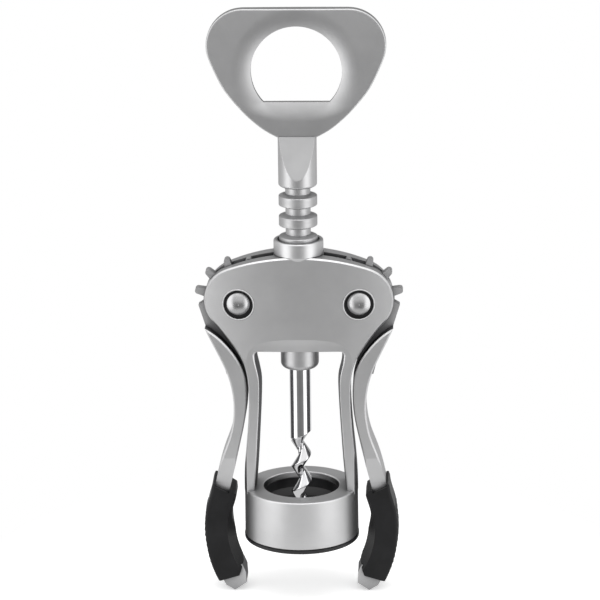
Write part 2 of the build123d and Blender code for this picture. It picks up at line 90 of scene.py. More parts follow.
class NodeBoard:
    """The node tree of a finish or of the room, with short calls to fill it."""

    def __init__(self, owner: Material | bpy.types.World, end: str) -> None:
        """Start with an output node alone.

        Args:
            owner: the material or world that the tree belongs to.
            end: type name of its output node.
        """
        owner.use_nodes = True
        self.tree = owner.node_tree
        self.tree.nodes.clear()
        self.output = self.node(end)

    def node(self, kind: str, **settings: object) -> Node:
        """Add a node and set its properties and unlinked inputs.

        Args:
            kind: the node's type name.
            settings: properties by name; a name that starts with in_ sets that input.

        Returns:
            The new node.
        """
        made = self.tree.nodes.new(kind)
        for key, value in settings.items():
            if key.startswith("in_"):
                made.inputs[key[3:].replace("_", " ")].default_value = value
            else:
                setattr(made, key, value)
        return made

    def link(self, source: Socket, target: Socket) -> None:
        """Join an output to an input."""
        self.tree.links.new(source, target)

    def maths(self, operation: str, first: Socket, second: Socket | float = 0.0) -> Socket:
        """Work a value out from one or two others.

        Args:
            operation: the sum's name.
            first: the first value.
            second: the second value or number, where the sum takes one.

        Returns:
            The result's socket.
        """
        made = self.node("ShaderNodeMath", operation=operation)
        self.link(first, made.inputs[0])
        if isinstance(second, Socket):
            self.link(second, made.inputs[1])
        else:
            made.inputs[1].default_value = second
        return made.outputs[0]

    def mixed(self, share: Socket, first: Node, second: Node) -> Node:
        """Mix two shaders.

        Args:
            share: how much of the second shader shows, from 0 to 1.
            first: the first shader.
            second: the second shader.

        Returns:
            The mixing node.
        """
        mix = self.node("ShaderNodeMixShader")
        self.link(share, mix.inputs[0])
        self.link(first.outputs[0], mix.inputs[1])
        self.link(second.outputs[0], mix.inputs[2])
        return mix


class FinishBoard(NodeBoard):
    """A material's node tree, with the steps that the finishes share."""

    def __init__(self, name: str) -> None:
        """Make an empty material of that name."""
        self.material = bpy.data.materials.new(name)
        super().__init__(self.material, "ShaderNodeOutputMaterial")

    def noise(
        self,
        scale: float,
        detail: float = 3.0,
        roughness: float = 0.55,
        stretch: Triple = (1.0, 1.0, 1.0),
    ) -> Socket:
        """Noise over the piece's own coordinates in metres.

        Args:
            scale: grains to the metre.
            detail: octaves.
            roughness: how much the finer octaves count.
            stretch: scale along each axis before the noise.

        Returns:
            The noise's value socket.
        """
        noise = self.node(
            "ShaderNodeTexNoise", in_Scale=scale, in_Detail=detail, in_Roughness=roughness
        )
        place = self.node("ShaderNodeTexCoord")
        mapping = self.node("ShaderNodeMapping", in_Scale=stretch)
        self.link(place.outputs["Object"], mapping.inputs["Vector"])
        self.link(mapping.outputs["Vector"], noise.inputs["Vector"])
        return noise.outputs["Fac"]

    def remap(
        self,
        value: Socket,
        low: float,
        high: float,
        from_low: float = 0.3,
        from_high: float = 0.7,
    ) -> Socket:
        """Spread a value between two limits.

        Args:
            value: the socket to spread.
            low: result at from_low.
            high: result at from_high.
            from_low: value where the spread starts.
            from_high: value where the spread ends.

        Returns:
            The result's socket.
        """
        ramp = self.node("ShaderNodeMapRange", in_From_Min=from_low, in_From_Max=from_high)
        ramp.inputs["To Min"].default_value = low
        ramp.inputs["To Max"].default_value = high
        self.link(value, ramp.inputs["Value"])
        return ramp.outputs["Result"]

    def tint(self, noise: Socket, dark: Triple, light: Triple) -> Socket:
        """Colour that wanders between two as a noise does.

        Args:
            noise: the noise's value socket.
            dark: colour where the noise is low.
            light: colour where it is high.

        Returns:
            The colour's socket.
        """
        share = self.remap(noise, 0.0, 1.0)
        mix = self.node("ShaderNodeMix", data_type="RGBA", in_A=(*dark, 1.0), in_B=(*light, 1.0))
        self.link(share, mix.inputs["Factor"])
        return mix.outputs["Result"]

    def towards(self, colour: Socket, end: Triple, share: Socket) -> Socket:
        """Take a colour over to a fixed one.

        Args:
            colour: the colour to start from.
            end: the fixed colour.
            share: how much of the fixed colour shows, from 0 to 1.

        Returns:
            The colour's socket.
        """
        mix = self.node("ShaderNodeMix", data_type="RGBA", in_B=(*end, 1.0))
        self.link(share, mix.inputs["Factor"])
        self.link(colour, mix.inputs["A"])
        return mix.outputs["Result"]

    def painted_shade(self, reach: float) -> Socket:
        """Share of a surface that gets painted shade, from 0 to 1.

        Walls that face the spindle's axis count as shaded, and so do corners that ambient occlusion
        finds near other surfaces.

        Args:
            reach: how far away other surfaces count, in metres.

        Returns:
            The share's socket.
        """
        place = self.node("ShaderNodeTexCoord")
        where = self.node("ShaderNodeSeparateXYZ")
        facing = self.node("ShaderNodeSeparateXYZ")
        self.link(place.outputs["Object"], where.inputs[0])
        self.link(place.outputs["Normal"], facing.inputs[0])
        # painted shade: inward-facing walls and occluded corners, where shadow falls
        side = self.maths("SIGN", where.outputs["X"])
        outward = self.maths("MULTIPLY", side, facing.outputs["X"])
        wall = self.remap(outward, 0.0, 1.0, from_low=-0.7, from_high=-0.95)
        gap = self.node("ShaderNodeAmbientOcclusion", samples=8, in_Distance=reach)
        corner = self.remap(gap.outputs["AO"], 1.0, 0.0, from_low=0.25, from_high=0.85)
        return self.maths("MAXIMUM", wall, corner)

    def bump(self, height: Socket, distance: float) -> Socket:
        """Bump from a height.

        Args:
            height: the height socket, from 0 to 1.
            distance: metres that 1 stands for.

        Returns:
            The normal socket.
        """
        made = self.node("ShaderNodeBump", in_Strength=1.0, in_Distance=distance)
        self.link(height, made.inputs["Height"])
        return made.outputs["Normal"]

    def principled(self, **inputs: object) -> None:
        """Add the surface shader and join it to the output.

        Args:
            inputs: sockets or fixed values by input name, with _ for a space.
        """
        shader = self.node("ShaderNodeBsdfPrincipled")
        for name, value in inputs.items():
            socket = shader.inputs[name.replace("_", " ")]
            if isinstance(value, Socket):
                self.link(value, socket)
            else:
                socket.default_value = value
        self.link(shader.outputs["BSDF"], self.output.inputs["Surface"])


class RoomBoard(NodeBoard):
    """The world's node tree, with the steps that set its light levels."""

    def __init__(self, name: str) -> None:
        """Make an empty world of that name and put it in the scene."""
        world = bpy.data.worlds.new(name)
        bpy.context.scene.world = world
        super().__init__(world, "ShaderNodeOutputWorld")

    def rising(self, value: Socket, limits: Limits) -> Socket:
        """Smooth step of a value.

        Args:
            value: the value's socket.
            limits: the values at which the step is 0 and 1.

        Returns:
            The step's socket.
        """
        step = self.node(
            "ShaderNodeMapRange",
            interpolation_type="SMOOTHSTEP",
            in_From_Min=limits[0],
            in_From_Max=limits[1],
        )
        self.link(value, step.inputs["Value"])
        return step.outputs["Result"]

    def towards_level(self, value: Socket, share: Socket, end: float) -> Socket:
        """Take a light level over to a fixed one.

        Args:
            value: the level to start from.
            share: how much of the fixed level shows, from 0 to 1.
            end: the fixed level.

        Returns:
            The level's socket.
        """
        blend = self.node("ShaderNodeMix", in_B=end)
        self.link(share, blend.inputs["Factor"])
        self.link(value, blend.inputs["A"])
        return blend.outputs["Result"]


# ---- finishes ----


@dataclass(frozen=True)
class SatinPlate:
    """Satin nickel-chrome plating on a zinc casting: fine even grain, faint flow in the metal."""

    name: str = "satin_plate"
    dark: Triple = (0.68, 0.68, 0.685)
    light: Triple = (0.74, 0.74, 0.745)
    # colour of the painted shade on inner walls and in gaps
    inner: Triple = (0.14, 0.14, 0.145)
    shade_reach: float = 0.010
    edge_tint: tuple[float, ...] = (0.4, 0.4, 0.4, 1.0)
    roughness_low: float = 0.38
    roughness_high: float = 0.46
    cloud_scale: float = 95.0
    grain_scale: float = 5200.0
    grain_depth: float = 0.000012

    def make(self) -> Material:
        """Build the material, with painted shade darkening it on inner walls and in the gaps
        between pieces.
        """
        board = FinishBoard(self.name)
        cloud = board.noise(self.cloud_scale, detail=4.0)
        grain = board.noise(self.grain_scale, detail=2.0, roughness=0.7)
        polished = board.tint(cloud, self.dark, self.light)
        # base colour is taken towards the painted shade colour on inner walls and in gaps
        board.principled(
            Base_Color=board.towards(polished, self.inner, board.painted_shade(self.shade_reach)),
            Specular_Tint=self.edge_tint,
            Roughness=board.remap(grain, self.roughness_low, self.roughness_high),
            Metallic=1.0,
            Normal=board.bump(grain, self.grain_depth),
        )
        return board.material


@dataclass(frozen=True)
class TurnedPlate:
    """Turned and plated steel: fine rings left by the lathe, round the spindle's axis."""

    name: str = "turned_plate"
    dark: Triple = (0.54, 0.54, 0.545)
    light: Triple = (0.62, 0.62, 0.625)
    edge_tint: tuple[float, ...] = (0.4, 0.4, 0.4, 1.0)
    roughness_low: float = 0.40
    roughness_high: float = 0.52
    cloud_scale: float = 120.0
    ring_scale: float = 2600.0
    ring_stretch: Triple = (0.02, 0.02, 1.0)
    ring_depth: float = 0.000008

    def make(self) -> Material:
        """Build the material."""
        board = FinishBoard(self.name)
        rings = board.noise(self.ring_scale, detail=2.0, stretch=self.ring_stretch)
        cloud = board.noise(self.cloud_scale, detail=3.0)
        board.principled(
            Base_Color=board.tint(cloud, self.dark, self.light),
            Roughness=board.remap(rings, self.roughness_low, self.roughness_high),
            Specular_Tint=self.edge_tint,
            Metallic=1.0,
            Normal=board.bump(rings, self.ring_depth),
        )
        return board.material


@dataclass(frozen=True)
class Polished:
    """Polished plate that mirrors the studio, with faint haze from handling."""

    name: str = "polished"
    dark: Triple = (0.70, 0.70, 0.71)
    light: Triple = (0.78, 0.78, 0.79)
    roughness_low: float = 0.04
    roughness_high: float = 0.08
    haze_scale: float = 260.0
    grain_scale: float = 1800.0
    grain_stretch: Triple = (1.0, 1.0, 0.08)
    grain_depth: float = 0.000001

    def make(self) -> Material:
        """Build the material."""
        board = FinishBoard(self.name)
        haze = board.noise(self.haze_scale, detail=5.0)
        grain = board.noise(self.grain_scale, detail=2.0, stretch=self.grain_stretch)
        board.principled(
            Base_Color=board.tint(haze, self.dark, self.light),
            Roughness=board.remap(haze, self.roughness_low, self.roughness_high),
            Metallic=1.0,
            Normal=board.bump(grain, self.grain_depth),
        )
        return board.material


@dataclass(frozen=True)
class RivetPlate(Polished):
    """Plated rivet head: smoother than the casting, with faint haze and a fine grain."""

    name: str = "rivet_plate"
    dark: Triple = (0.50, 0.50, 0.505)
    light: Triple = (0.58, 0.58, 0.585)
    roughness_low: float = 0.24
    roughness_high: float = 0.32
    haze_scale: float = 420.0
    grain_scale: float = 6400.0
    grain_stretch: Triple = (1.0, 1.0, 1.0)
    grain_depth: float = 0.000004


@dataclass(frozen=True)
class BlackRubber:
    """Soft black grip: fine moulded grain under a faintly uneven tone."""

    name: str = "black_rubber"
    dark: Triple = (0.006, 0.006, 0.0065)
    light: Triple = (0.012, 0.012, 0.013)
    roughness_low: float = 0.44
    roughness_high: float = 0.58
    specular_level: float = 0.28
    cloud_scale: float = 160.0
    grain_scale: float = 3400.0
    grain_depth: float = 0.00003

    def make(self) -> Material:
        """Build the material."""
        board = FinishBoard(self.name)
        grain = board.noise(self.grain_scale, detail=3.0, roughness=0.6)
        cloud = board.noise(self.cloud_scale, detail=3.0)
        board.principled(
            Base_Color=board.tint(cloud, self.dark, self.light),
            Roughness=board.remap(grain, self.roughness_low, self.roughness_high),
            Specular_IOR_Level=self.specular_level,
            Normal=board.bump(grain, self.grain_depth),
        )
        return board.material


@dataclass(frozen=True)
class BlackPlastic:
    """Moulded black plastic: smooth, slightly uneven gloss."""

    name: str = "black_plastic"
    dark: Triple = (0.010, 0.010, 0.011)
    light: Triple = (0.018, 0.018, 0.019)
    roughness_low: float = 0.30
    roughness_high: float = 0.42
    cloud_scale: float = 210.0
    grain_scale: float = 4200.0
    grain_depth: float = 0.000008

    def make(self) -> Material:
        """Build the material."""
        board = FinishBoard(self.name)
        cloud = board.noise(self.cloud_scale, detail=4.0)
        grain = board.noise(self.grain_scale, detail=2.0)
        board.principled(
            Base_Color=board.tint(cloud, self.dark, self.light),
            Roughness=board.remap(cloud, self.roughness_low, self.roughness_high),
            Normal=board.bump(grain, self.grain_depth),
        )
        return board.material


# ---- studio ----


def direction(azimuth: float, elevation: float) -> Vector:
    """Unit vector from the tool towards a camera or lamp.

    Args:
        azimuth: degrees from the front, positive to the right.
        elevation: degrees above the horizon.

    Returns:
        The vector.
    """
    turn, rise = math.radians(azimuth), math.radians(elevation)
    return Vector(
        (math.sin(turn) * math.cos(rise), -math.cos(turn) * math.cos(rise), math.sin(rise))
    )


@dataclass
class Camera:
    """Long lens, a little above the tool and a little to its right."""

    distance: float = 1.0
    elevation: float = 16.4
    azimuth: float = 2.4
    roll: float = 0.72
    focal: float = 183.0
    sensor: float = 36.0
    nearest: float = 0.01
    target: Triple = (0.00028, 0.0, 0.0819)

    def build(self) -> None:
        """Place the camera and make it the scene's own."""
        data = bpy.data.cameras.new("camera")
        data.lens = self.focal
        data.sensor_width = self.sensor
        data.sensor_fit = "HORIZONTAL"
        data.clip_start = self.nearest
        camera = bpy.data.objects.new("camera", data)
        bpy.context.scene.collection.objects.link(camera)
        away = direction(self.azimuth, self.elevation)
        turn = away.to_track_quat("Z", "Y").to_matrix().to_4x4()
        roll = Matrix.Rotation(math.radians(-self.roll), 4, "Z")
        place = Matrix.Translation(Vector(self.target) + away * self.distance)
        camera.matrix_world = place @ turn @ roll
        bpy.context.scene.camera = camera


@dataclass
class Floor:
    """Round floor: plain white to the camera and pale in metal, with the tool's shadow on it."""

    z: float = -0.0182
    radius: float = 0.13
    corners: int = 96
    paper: float = 0.9
    glow: float = 0.45
    in_metal: float = 0.76
    fade_start: float = 0.05
    fade_end_share: float = 0.9

    def finish(self) -> Material:
        """Build the floor's material, whose shadow fades into white before the rim."""
        board = FinishBoard("studio_floor")
        diffuse = board.node(
            "ShaderNodeBsdfDiffuse", in_Color=(self.paper, self.paper, self.paper, 1.0)
        )
        glow = board.node("ShaderNodeEmission", in_Color=WHITE, in_Strength=self.glow)
        lit = board.node("ShaderNodeAddShader")
        board.link(diffuse.outputs[0], lit.inputs[0])
        board.link(glow.outputs[0], lit.inputs[1])
        white = board.node("ShaderNodeEmission", in_Color=WHITE, in_Strength=1.0)
        place = board.node("ShaderNodeTexCoord")
        distance = board.node("ShaderNodeVectorMath", operation="LENGTH")
        board.link(place.outputs["Object"], distance.inputs[0])
        fade_end = self.radius * self.fade_end_share
        fade = board.remap(distance.outputs["Value"], 0.0, 1.0, self.fade_start, fade_end)
        shown = board.mixed(fade, lit, white)
        mirrored = board.node("ShaderNodeEmission", in_Color=WHITE, in_Strength=self.in_metal)
        path = board.node("ShaderNodeLightPath")
        surface = board.mixed(path.outputs["Is Glossy Ray"], diffuse, mirrored)
        surface = board.mixed(path.outputs["Is Camera Ray"], surface, shown)
        board.link(surface.outputs[0], board.output.inputs["Surface"])
        return board.material

    def build(self) -> None:
        """Make the floor as one flat disc."""
        turns = [2 * math.pi * k / self.corners for k in range(self.corners)]
        rim = [(self.radius * math.cos(a), self.radius * math.sin(a), self.z) for a in turns]
        mesh = bpy.data.meshes.new("floor")
        mesh.from_pydata(rim, [], [tuple(range(self.corners))])
        mesh.materials.append(self.finish())
        floor = bpy.data.objects.new("floor", mesh)
        bpy.context.scene.collection.objects.link(floor)


@dataclass
class Room:
    """Surroundings: white behind the tool, with bright and dark bands for the metal to show.

    A band is an azimuth from the front, the same to both sides, and its light level. In the
    rear, front and ceiling limits, a turn of 1 is straight behind and a height of 1 straight up.
    """

    brightest: float = 1.6
    bands: tuple[Limits, ...] = (
        (0.0, 0.13),
        (32.0, 0.16),
        (38.0, 0.84),
        (77.0, 0.84),
        (84.0, 0.42),
        (120.0, 0.42),
        (133.0, 0.62),
        (180.0, 0.62),
    )
    rear_level: float = 0.22
    rear_turn: Limits = (0.64, 0.76)
    rear_height: Limits = (0.0, 0.12)
    front_level: float = 0.8
    front_turn: Limits = (0.3, 0.16)
    front_height: Limits = (-0.2, 0.3)
    ceiling_level: float = 1.2
    ceiling_height: Limits = (0.5, 0.8)

    def banded(self, board: RoomBoard, turn: Socket) -> Socket:
        """Light level of the bands.

        Args:
            board: the world's board.
            turn: turn from the front, from 0 to 1.

        Returns:
            The level's socket.
        """
        ramp = board.node("ShaderNodeValToRGB")
        ramp.color_ramp.interpolation = "EASE"
        stops = ramp.color_ramp.elements
        while len(stops) < len(self.bands):
            stops.new(0.5)
        for stop, (azimuth, level) in zip(stops, self.bands):
            stop.position = azimuth / 180.0
            stop.color = (level, level, level, 1.0)
        board.link(turn, ramp.inputs["Fac"])
        return board.maths("MULTIPLY", ramp.outputs["Color"], self.brightest)

    def build(self) -> None:
        """Set up the world: bands, rear, front and ceiling, and plain white for the camera."""
        board = RoomBoard("studio")
        place = board.node("ShaderNodeTexCoord")
        split = board.node("ShaderNodeSeparateXYZ")
        board.link(place.outputs["Generated"], split.inputs[0])
        height = split.outputs["Z"]
        across = board.maths("ABSOLUTE", split.outputs["X"])
        forwards = board.maths("MULTIPLY", split.outputs["Y"], -1.0)
        turn = board.maths("DIVIDE", board.maths("ARCTAN2", across, forwards), math.pi)
        level = self.banded(board, turn)
        for end, turn_limits, height_limits in (
            (self.rear_level, self.rear_turn, self.rear_height),
            (self.front_level, self.front_turn, self.front_height),
        ):
            round_about = board.rising(turn, turn_limits)
            share = board.maths("MULTIPLY", round_about, board.rising(height, height_limits))
            level = board.towards_level(level, share, end)
        overhead = board.rising(height, self.ceiling_height)
        level = board.towards_level(level, overhead, self.ceiling_level)
        room = board.node("ShaderNodeBackground", in_Color=WHITE)
        board.link(level, room.inputs["Strength"])
        white = board.node("ShaderNodeBackground", in_Color=WHITE, in_Strength=1.0)
        rays = board.node("ShaderNodeLightPath").outputs
        seen = board.maths("MAXIMUM", rays["Is Camera Ray"], rays["Is Transmission Ray"])
        surface = board.mixed(seen, room, white)
        board.link(surface.outputs[0], board.output.inputs["Surface"])


@dataclass
class Softbox:
    """A rectangular lamp that looks at the tool."""

    name: str
    azimuth: float
    elevation: float
    distance: float
    width: float
    height: float
    power: float
    aim_z: float = 0.08

    def build(self) -> None:
        """Place the lamp."""
        data = bpy.data.lights.new(self.name, "AREA")
        data.shape = "RECTANGLE"
        data.size = self.width
        data.size_y = self.height
        data.energy = self.power
        lamp = bpy.data.objects.new(self.name, data)
        bpy.context.scene.collection.objects.link(lamp)
        away = direction(self.azimuth, self.elevation)
        lamp.location = Vector((0, 0, self.aim_z)) + away * self.distance
        lamp.rotation_euler = away.to_track_quat("Z", "Y").to_euler()


@dataclass
class Studio:
    """Camera, floor, room and lamps: a tall softbox on each side and a broad one overhead."""

    side_azimuth: float = 56.0

    def build(self) -> None:
        """Build the whole studio."""
        Camera().build()
        Floor().build()
        Room().build()
        for side in Side:
            Softbox(
                f"{side.label}_softbox",
                azimuth=side.value * self.side_azimuth,
                elevation=3.0,
                distance=1.1,
                width=0.6,
                height=1.5,
                power=1.3,
            ).build()
        Softbox(
            "top_softbox",
            azimuth=0.0,
            elevation=76.0,
            distance=1.2,
            width=1.2,
            height=0.8,
            power=3.0,
        ).build()
        bpy.context.scene.view_settings.view_transform = "Standard"


# ---- mesh helpers ----


def place_piece(
    name: str, mesh: bpy.types.Mesh, work: bmesh.types.BMesh, sharp_angle: float
) -> Piece:
    """Put worked geometry in the scene, smooth-shaded with sharp edges where faces meet steeply.

    Args:
        name: the piece's name.
        mesh: the mesh to write to.
        work: the geometry, which is freed.
        sharp_angle: degrees between faces above which an edge stays sharp.

    Returns:
        The new object.
    """
    work.to_mesh(mesh)
    work.free()
    mesh.shade_smooth()
    mesh.set_sharp_from_angle(angle=math.radians(sharp_angle))
    piece = bpy.data.objects.new(name, mesh)
    bpy.context.scene.collection.objects.link(piece)
    log.info("%s: %d faces", name, len(mesh.polygons))
    return piece


def mesh_piece(
    name: str, points: list[Triple], faces: Faces, sharp_angle: float
) -> Piece:
    """Make a piece from points and faces, with its normals pointing out.

    Args:
        name: the piece's name.
        points: its vertices in metres.
        faces: vertex indices of each face.
        sharp_angle: degrees between faces above which an edge stays sharp.

    Returns:
        The new object.
    """
    mesh = bpy.data.meshes.new(name)
    mesh.from_pydata(points, [], faces)
    work = bmesh.new()
    work.from_mesh(mesh)
    bmesh.ops.recalc_face_normals(work, faces=work.faces)
    return place_piece(name, mesh, work, sharp_angle)


def copy_above(node: str, name: str, height: float, sharp_angle: float) -> Piece:
    """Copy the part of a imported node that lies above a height.

    Args:
        node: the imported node.
        name: the copy's name.
        height: z of the cut in metres.
        sharp_angle: degrees between faces above which an edge stays sharp.

    Returns:
        The new object.
    """
    work = bmesh.new()
    work.from_mesh(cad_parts[node].data)
    bmesh.ops.remove_doubles(work, verts=work.verts, dist=MERGE_DISTANCE)
    bmesh.ops.bisect_plane(
        work,
        geom=work.verts[:] + work.edges[:] + work.faces[:],
        plane_co=(0, 0, height),
        plane_no=(0, 0, 1),
        clear_inner=True,
    )
    return place_piece(name, bpy.data.meshes.new(name), work, sharp_angle)


def smooth_run(knots: list[Vector], steps: int) -> list[Vector]:
    """Points of a smooth curve through all knots but the two end ones, which steer it.

    Args:
        knots: the curve's knots, with one more at each end.
        steps: points for each span.

    Returns:
        The points after the curve's first one.
    """
    run = []
    for before, start, end, after in zip(knots, knots[1:], knots[2:], knots[3:]):
        slope = end - before
        bend = 2 * before - 5 * start + 4 * end - after
        twist = 3 * start - before - 3 * end + after
        for k in range(1, steps + 1):
            t = k / steps
            run.append(0.5 * (2 * start + slope * t + bend * t * t + twist * t**3))
    return run


def tube_faces(rows: int, columns: int, start: int = 0) -> Faces:
    """Quads of a tube whose vertices run ring by ring.

    Args:
        rows: number of rings.
        columns: vertices in a ring.
        start: index of the first vertex.

    Returns:
        The faces.
    """
    faces = []
    for row in range(rows - 1):
        for column in range(columns):
            a = start + row * columns + column
            b = start + row * columns + (column + 1) % columns
            faces.append((a, b, b + columns, a + columns))
    return faces


# ---- the tool ----


class Dresser:
    """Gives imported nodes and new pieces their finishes."""

    def __init__(self) -> None:
        """Build every finish once."""
        self.finishes = {
            Slot.SATIN_METAL: SatinPlate().make(),
            Slot.TURNED_METAL: TurnedPlate().make(),
            Slot.POLISHED_METAL: Polished().make(),
            Slot.BLACK_PLASTIC: BlackPlastic().make(),
            Slot.BLACK_RUBBER: BlackRubber().make(),
        }
        self.rivet = RivetPlate().make()
        self.opener = SatinPlate(
            "opener_plate", dark=(0.58, 0.58, 0.585), light=(0.64, 0.64, 0.645)
        ).make()

    def dress(self, node: str, slot: Slot, finish: Material | None = None) -> None:
        """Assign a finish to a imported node.

        Args:
            node: the node's name.
            slot: the finish's slot.
            finish: a finish of the piece's own, in place of the slot's.
        """
        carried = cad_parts[node]
        carried.data.materials.clear()
        carried.data.materials.append(finish or self.finishes[slot])
        log.info("%s dressed as %s", node, slot.value)

    def add(
        self,
        piece: Piece,
        slot: Slot,
        body: str,
        *replaced: str,
        finish: Material | None = None,
    ) -> None:
        """Finish a new piece and let it ride.

        Args:
            piece: the new piece.
            slot: the finish's slot.
            body: the body that it moves with.
            replaced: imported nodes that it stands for.
            finish: a finish of the piece's own, in place of the slot's.
        """
        piece.data.materials.append(finish or self.finishes[slot])
        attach(piece, body)
        for node in replaced:
            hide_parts(node)
        log.info("%s rides on %s", piece.name, body)


@dataclass
class SeatEdge:
    """Bright broken edge round a pivot's hole in the crowned front plate."""

    side: Side
    pivot_x: float = 19.7
    pivot_z: float = 82.1
    radius: float = 5.08
    thickness: float = 0.25
    face_depth: float = 7.6
    crown_radius: float = 140.0
    stations: int = 96
    corners: int = 10
    sharp_angle: float = 80.0

    def build(self) -> Piece:
        """Make a thin ring that lies in the plate's face."""
        points = []
        for k in range(self.stations):
            turn = 2 * math.pi * k / self.stations
            for j in range(self.corners):
                around = 2 * math.pi * j / self.corners
                radius = self.radius + self.thickness * math.cos(around)
                x = self.side.value * self.pivot_x + radius * math.cos(turn)
                z = self.pivot_z + radius * math.sin(turn)
                crown = self.crown_radius - math.sqrt(self.crown_radius**2 - x**2)
                depth = self.face_depth - crown + self.thickness * math.sin(around)
                points.append((x * MM, -depth * MM, z * MM))
        faces = tube_faces(self.stations, self.corners)
        last = (self.stations - 1) * self.corners
        for j in range(self.corners):
            following = (j + 1) % self.corners
            faces.append((last + j, last + following, following, j))
        return mesh_piece(f"{self.side.label}_seat_edge", points, faces, self.sharp_angle)


@dataclass
class FrameCasting:
    """Frame, bell liner and the still parts of the pivots."""

    dresser: Dresser

    def build(self) -> None:
        """Dress the frame's nodes and add the edges round the pivots' holes."""
        self.dresser.dress("frame", Slot.SATIN_METAL)
        self.dresser.dress("bell_liner", Slot.BLACK_PLASTIC)
        for side in Side:
            self.dresser.add(SeatEdge(side).build(), Slot.SATIN_METAL, "frame_body")
            for piece in ("pivot_pin", "pivot_cap"):
                self.dresser.dress(f"{side.label}_{piece}", Slot.POLISHED_METAL, self.dresser.rivet)
            for piece in ("front_bush", "rear_bush"):
                self.dresser.dress(f"{side.label}_{piece}", Slot.BLACK_PLASTIC)


@dataclass
class GripRibs:
    """Fine ribs across the outer edge of a grip, rounded at both ends.

    The edge's line runs down the grip's outer side, and the grooves' places are shares of
    its length. A rib lies halfway between two grooves.
    """

    side: Side
    edge: tuple[Limits, ...] = (
        (29.5, 19.4),
        (30.1, 16.2),
        (31.2, 12.5),
        (32.1, 5.0),
        (31.8, -1.0),
        (30.4, -8.0),
        (27.8, -14.5),
    )
    edge_steps: int = 16
    first_groove: float = 0.275
    last_groove: float = 0.877
    grooves: int = 12
    half_depth: float = 5.4
    radius: float = 0.7
    swell: float = 0.35
    thinnest: float = 0.02
    rings: int = 13
    corners: int = 12
    sharp_angle: float = 60.0

    def place(self, line: list[Vector], share: float) -> tuple[Vector, Vector]:
        """Point and direction at a share of a line's length.

        Args:
            line: the line's points.
            share: share of its length, from 0 to 1.

        Returns:
            The point, and the unit direction of the line there.
        """
        spans = [end - start for start, end in zip(line, line[1:])]
        left = share * sum(span.length for span in spans)
        for start, span in zip(line, spans):
            if left <= span.length:
                return start + span * (left / span.length), span.normalized()
            left -= span.length
        return line[-1], spans[-1].normalized()

    def rib(self, middle: Vector, down: Vector) -> list[Vector]:
        """Vertices of one rib, ring by ring from the front to the rear.

        Args:
            middle: the rib's place on the edge's line.
            down: the line's direction there.

        Returns:
            The vertices in millimetres.
        """
        outward = Vector((-down.y, down.x))
        points = []
        for j in range(self.rings):
            lean = math.pi * (j / (self.rings - 1) - 0.5)
            size = max(self.thinnest, math.cos(lean) ** 0.5)
            for i in range(self.corners):
                around = 2 * math.pi * i / self.corners
                spot = middle + outward * (size * self.swell * math.cos(around))
                spot += down * (size * self.radius * math.sin(around))
                points.append((self.side.value * spot.x, math.sin(lean) * self.half_depth, spot.y))
        return points

    def build(self) -> Piece:
        """Make all the ribs of one grip as one mesh, one on each side of every groove."""
        edge = [Vector(point) for point in self.edge]
        ends = [edge[0] * 2 - edge[1], *edge, edge[-1] * 2 - edge[-2]]
        line = [edge[0], *smooth_run(ends, self.edge_steps)]
        step = (self.last_groove - self.first_groove) / (self.grooves - 1)
        points, faces = [], []
        for k in range(self.grooves + 1):
            start = len(points)
            rib = self.rib(*self.place(line, self.first_groove + (k - 0.5) * step))
            points += [(x * MM, y * MM, z * MM) for x, y, z in rib]
            faces += tube_faces(self.rings, self.corners, start)
            faces.append(tuple(range(start, start + self.corners)))
            faces.append(tuple(range(len(points) - self.corners, len(points))))
        return mesh_piece(f"{self.side.label}_grip_ribs", points, faces, self.sharp_angle)


@dataclass
class Wing:
    """One lever with its grip."""

    dresser: Dresser
    side: Side

    def build(self) -> None:
        """Dress the lever and the grip and add the grip's ribs."""
        self.dresser.dress(f"{self.side.label}_lever", Slot.SATIN_METAL)
        self.dresser.dress(f"{self.side.label}_grip", Slot.BLACK_RUBBER)
        self.dresser.add(GripRibs(self.side).build(), Slot.BLACK_RUBBER, f"{self.side.label}_wing")


